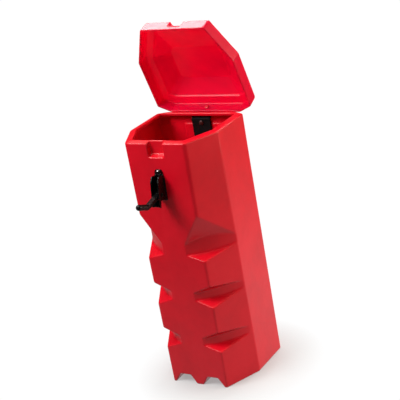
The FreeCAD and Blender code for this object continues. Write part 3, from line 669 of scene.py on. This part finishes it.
def lid_rivet():
    """Measured with the lid turned shut, then placed on the open lid."""
    shut = turn_x(node_points("hinge_rivet_lid")[0], LID_PIVOT, LID_OPEN)
    y_values = [point.y for point in shut]
    z_values = [point.z for point in shut]
    y = min(y_values) + RIVET_HEAD
    z = (min(z_values) + max(z_values)) / 2
    centres = turn_x([Vector((0, y, z))], LID_PIVOT, -LID_OPEN)
    axis = (0, math.cos(-LID_OPEN), math.sin(-LID_OPEN))
    obj = turned_parts("hinge_rivet_on_lid", rivet((max(y_values) - RIVET_TAIL) - y),
                       centres, axis, RIVET_RED)
    register(obj, "hinge_rivet_lid", "lid")


def latch_screws():
    low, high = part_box("latch_screws")
    radius = high.x
    y = low.y + SCREW_HEAD
    profile = dome(radius, SCREW_HEAD, rim=0.0005, step=6)
    profile += [(SCREW_SHANK, 0.0), (SCREW_SHANK, 0.0012)]
    for k in range(THREAD_TURNS):
        z = 0.0014 + THREAD_PITCH * k
        profile += [(SCREW_SHANK, z), (THREAD_ROOT, z + THREAD_PITCH / 2)]
    profile += [(SCREW_SHANK, 0.0162), (0.0021, 0.0170), (0.0, 0.0170)]
    centres = [(0, y, high.z - radius), (0, y, low.z + radius)]
    obj = turned_parts("latch_screw_domes", profile, centres, (0, 1, 0), DOME, segments=64)
    register(obj, "latch_screws", "container")


# ------------------------------------------- CAD parts kept, with eased edges
# (node, material, bevel width)
EASED = [
    ("latch_pin", PLATED, 0.0002),
    ("latch_pin_clips", PLATED, 0.00012),
    ("latch_backing_plate", ZINC, 0.0003),
    ("latch_washers", ZINC, 0.00012),
    ("latch_nuts", ZINC, 0.0003),
    ("hinge_washers_body", ALLOY, 0.00015),
    ("hinge_washer_lid", ALLOY, 0.00015)]


def ease(node, material, width):
    obj = NODES[node]
    obj.data.materials.clear()
    obj.data.materials.append(material)
    weld = obj.modifiers.new("weld", "WELD")
    weld.merge_threshold = 3e-6
    bevel = obj.modifiers.new("ease", "BEVEL")
    bevel.width = width
    bevel.segments = 2
    bevel.limit_method = "ANGLE"
    bevel.angle_limit = math.radians(40)
    bevel.use_clamp_overlap = True


# ------------------------------------------------------------------ the stage
WHITE = 1.02         # brightness of the backdrop seen by the camera
FLOOR_ALBEDO = 0.52  # floor near the object, seen by the camera
SHEEN = 0.92         # brightest floor seen in reflections
BOUNCE = 0.25        # floor colour for bounce light


def floor_material():
    m = Material("floor")
    rays = m.node("LightPath").outputs
    position = m.node("NewGeometry").outputs["Position"]
    place = m.node("SeparateXYZ", {0: position}).outputs

    def distance(x, y):
        dx = m.calc("SUBTRACT", place["X"], x)
        dy = m.calc("SUBTRACT", place["Y"], y)
        return m.calc("SQRT", m.plus(m.times(dx, dx), m.times(dy, dy)), 0.0)

    # seen by the camera: pale paper near the object, running out to white
    grain = m.bump(m.noise(scale=900.0, detail=2.0), distance=0.00004, strength=0.3)
    m.surface(Base_Color=(FLOOR_ALBEDO,) * 3, Roughness=0.7, Specular_IOR_Level=0.15,
              Normal=grain)
    white = m.node("Emission", {"Strength": WHITE}).outputs[0]
    fade = m.remap(distance(0.02, 0.0), out=(0.34, 1.0), src=(0.11, 0.23))
    seen = m.mix_shader(fade, m.shader.outputs[0], white)
    # seen in reflections: a lit sheet that fades out towards the front left
    glow = m.remap(distance(0.25, 0.35), out=(SHEEN, 0.0), src=(0.0, 1.5))
    sheet = m.node("Emission", {"Strength": glow}).outputs[0]
    dim = m.node("BsdfDiffuse", {"Color": (BOUNCE,) * 3}).outputs[0]
    unseen = m.mix_shader(rays["Is Glossy Ray"], dim, sheet)
    m.finish(m.mix_shader(rays["Is Camera Ray"], unseen, seen))
    return m.material


def floor():
    bm = bmesh.new()
    bmesh.ops.create_grid(bm, x_segments=24, y_segments=24, size=9.0)
    mesh = bpy.data.meshes.new("floor")
    bm.to_mesh(mesh)
    bm.free()
    obj = bpy.data.objects.new("floor", mesh)
    scene.collection.objects.link(obj)
    mesh.materials.append(floor_material())


def studio_world():
    """White to the camera, dim to diffuse rays, nearly dark to the rest."""
    world = bpy.data.worlds.new("studio")
    scene.world = world
    world.use_nodes = True
    w = Nodes(world.node_tree)
    backdrop = w.tree.nodes["Background"]
    w.feed(backdrop.inputs[0], (1, 1, 1))
    w.feed(backdrop.inputs[1], WHITE)
    rays = w.node("LightPath").outputs
    ambient = w.remap(rays["Is Diffuse Ray"], out=(0.015, 0.13))
    dim = w.node("Background", {0: (1, 1, 1), 1: ambient}).outputs[0]
    mixed = w.mix_shader(rays["Is Camera Ray"], dim, backdrop.outputs[0])
    w.feed(w.tree.nodes["World Output"].inputs[0], mixed)


def area(name, azimuth, elevation, power, distance=2.2, size=(1.0, 1.0),
         target=(0, 0, 0.4), color=(1, 1, 1)):
    """Area light aimed at target; azimuth in degrees from the front towards +X."""
    light = bpy.data.lights.new(name, "AREA")
    light.energy = power
    light.shape = "RECTANGLE"
    light.size, light.size_y = size
    light.color = color
    obj = bpy.data.objects.new(name, light)
    scene.collection.objects.link(obj)
    a, e = math.radians(azimuth), math.radians(elevation)
    direction = Vector((math.sin(a) * math.cos(e), -math.cos(a) * math.cos(e), math.sin(e)))
    place = Vector(target) + distance * direction
    obj.location = place
    obj.rotation_euler = (Vector(target) - place).to_track_quat("-Z", "Y").to_euler()
    return obj


def lights(lid):
    upper = (0, 0.1, 0.65)
    area("key_left", azimuth=-38, elevation=50, power=48)
    area("side_right", azimuth=118, elevation=10, power=34, distance=2.0,
         size=(1.2, 1.1), color=(1.0, 0.84, 0.68))
    area("back_left", azimuth=-126, elevation=51, power=10, size=(1.1, 1.1),
         target=upper, color=(1.0, 0.88, 0.78))
    area("top", azimuth=20, elevation=80, power=11, distance=1.9, color=(1.0, 0.86, 0.74))
    area("behind", azimuth=176, elevation=38, power=38, distance=2.0, target=upper)
    # this one lights only the open lid
    rake = area("lid_rake", azimuth=-136, elevation=39, power=56, size=(1.1, 1.1),
                target=(0, 0.0, 0.78))
    receivers = bpy.data.collections.new("lid_rake_receivers")
    receivers.objects.link(lid)
    rake.light_linking.receiver_collection = receivers


def camera():
    data = bpy.data.cameras.new("cam")
    obj = bpy.data.objects.new("cam", data)
    scene.collection.objects.link(obj)
    data.sensor_width = 36.0
    data.lens = 105.342
    data.clip_end = 50
    # rows are the camera's right, up and backward directions
    axes = Matrix(((0.8549329, 0.4898723, -0.1706311),
                   (-0.0355072, 0.3834261, 0.9228888),
                   (0.517522, -0.7829493, 0.3451976)))
    pose = axes.transposed().to_4x4()
    pose.translation = Vector((1.36310, -2.03021, 1.30715))
    obj.matrix_world = pose
    scene.camera = obj
    scene.view_settings.view_transform = "Standard"


# ---------------------------------------------------------------------- build
container()
lid = lid_moulding()
latch_bracket()
latch_strap()
inside_strap()
outside_strap()
body_rivets()
lid_rivet()
latch_screws()
for node, material, width in EASED:
    ease(node, material, width)
floor()
studio_world()
lights(lid)
camera()
